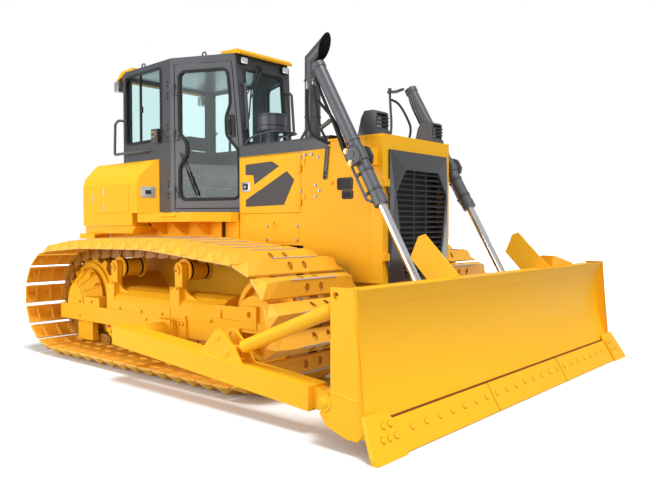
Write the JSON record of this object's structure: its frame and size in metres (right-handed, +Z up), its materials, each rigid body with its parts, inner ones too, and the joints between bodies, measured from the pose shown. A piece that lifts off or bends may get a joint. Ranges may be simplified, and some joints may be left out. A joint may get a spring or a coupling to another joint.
{
  "type": "wide-track crawler bulldozer with cab and straight blade",
  "caption": "Wide-track crawler bulldozer with a six-sided cab, straight blade on push arms, two lift cylinders, grille door and engine doors.",
  "frame": {"origin": "on the ground under the middle of the machine's bounding box", "axes": "+X forward to the blade, +Y to the left, +Z up"},
  "size_m": [5.218, 4.216, 3.162],
  "materials": {
    "yellow_paint": "gloss",
    "grey_paint": "satin",
    "black_paint": "matte",
    "black_plastic": "matte",
    "seat_fabric": "matte",
    "chrome_rod": "polished"
  },
  "bodies": {
    "chassis": {"main_frame": "yellow_paint", "drawbar": "yellow_paint", "rear_deck": "yellow_paint", "engine_block": "black_paint", "hood": "grey_paint", "radiator_guard": "yellow_paint", "radiator": "black_paint", "cab_shell": "grey_paint", "cab_roof": "grey_paint", "front_visor": "yellow_paint", "rear_visor": "yellow_paint", "handrails": "grey_paint", "rear_tank": "yellow_paint", "exhaust": "grey_paint", "exhaust_guard": "grey_paint", "precleaner": "black_plastic", "headlamps": "grey_paint", "seat": "seat_fabric", "console": "black_plastic", "track_right": "yellow_paint", "sprocket_right": "yellow_paint", "idler_right": "yellow_paint", "rollers_right": "yellow_paint", "track_frame_right": "yellow_paint", "fender_right": "yellow_paint", "side_frame_right": "yellow_paint", "side_box_right": "yellow_paint", "track_left": "yellow_paint", "sprocket_left": "yellow_paint", "idler_left": "yellow_paint", "rollers_left": "yellow_paint", "track_frame_left": "yellow_paint", "fender_left": "yellow_paint", "side_frame_left": "yellow_paint", "side_box_left": "yellow_paint"},
    "blade_group": {"blade": "yellow_paint", "blade_guards": "yellow_paint", "cutting_edge": "yellow_paint", "push_arm_right": "yellow_paint", "brace_right": "yellow_paint", "push_arm_left": "yellow_paint", "brace_left": "yellow_paint"},
    "cab_door_right": {"cab_door_right": "grey_paint"},
    "engine_door_right": {"engine_door_right": "yellow_paint"},
    "lift_barrel_right": {"lift_barrel_right": "grey_paint"},
    "lift_rod_right": {"lift_rod_right": "chrome_rod"},
    "cab_door_left": {"cab_door_left": "grey_paint"},
    "engine_door_left": {"engine_door_left": "yellow_paint"},
    "lift_barrel_left": {"lift_barrel_left": "grey_paint"},
    "lift_rod_left": {"lift_rod_left": "chrome_rod"},
    "grille_door": {"grille_door": "black_paint"}
  },
  "joints": [
    {"name": "blade_lift", "type": "hinge", "parent": "chassis", "child": "blade_group", "pos_m": [-0.221, 0, 0.405], "axis": [0, 1, 0], "range_deg": [-20, 11]},
    {"name": "lift_barrel_swing_right", "type": "hinge", "parent": "chassis", "child": "lift_barrel_right", "pos_m": [1.376, -0.704, 1.903], "axis": [0, 1, 0], "range_deg": [-14.9, 8.42]},
    {"name": "lift_rod_slide_right", "type": "slide", "parent": "lift_barrel_right", "child": "lift_rod_right", "axis": [0.4879, 0, -0.8729], "range_m": [-0.7509, 0.4148]},
    {"name": "cab_door_right", "type": "hinge", "parent": "chassis", "child": "cab_door_right", "pos_m": [-1.12212, -0.69138, 2.25], "axis": [0, 0, -1], "range_deg": [0, 85]},
    {"name": "engine_door_right", "type": "hinge", "parent": "chassis", "child": "engine_door_right", "pos_m": [0.53, -0.512, 1.7], "axis": [0, 0, 1], "range_deg": [0, 100]},
    {"name": "lift_barrel_swing_left", "type": "hinge", "parent": "chassis", "child": "lift_barrel_left", "pos_m": [1.376, 0.704, 1.903], "axis": [0, 1, 0], "range_deg": [-14.9, 8.42]},
    {"name": "lift_rod_slide_left", "type": "slide", "parent": "lift_barrel_left", "child": "lift_rod_left", "axis": [0.4879, 0, -0.8729], "range_m": [-0.7509, 0.4148]},
    {"name": "cab_door_left", "type": "hinge", "parent": "chassis", "child": "cab_door_left", "pos_m": [-1.12212, 0.69138, 2.25], "axis": [0, 0, 1], "range_deg": [0, 85]},
    {"name": "engine_door_left", "type": "hinge", "parent": "chassis", "child": "engine_door_left", "pos_m": [0.53, 0.512, 1.7], "axis": [0, 0, -1], "range_deg": [0, 100]},
    {"name": "grille_door", "type": "hinge", "parent": "chassis", "child": "grille_door", "pos_m": [1.499, -0.47, 1.4], "axis": [0, 0, -1], "range_deg": [0, 40]}
  ],
  "couplings": [
    {"joint": "lift_barrel_swing_right", "follows": "blade_lift", "ratio": 0.72},
    {"joint": "lift_rod_slide_right", "follows": "blade_lift", "m_per_rad": 2.1396},
    {"joint": "lift_barrel_swing_left", "follows": "blade_lift", "ratio": 0.72},
    {"joint": "lift_rod_slide_left", "follows": "blade_lift", "m_per_rad": 2.1396}
  ]
}
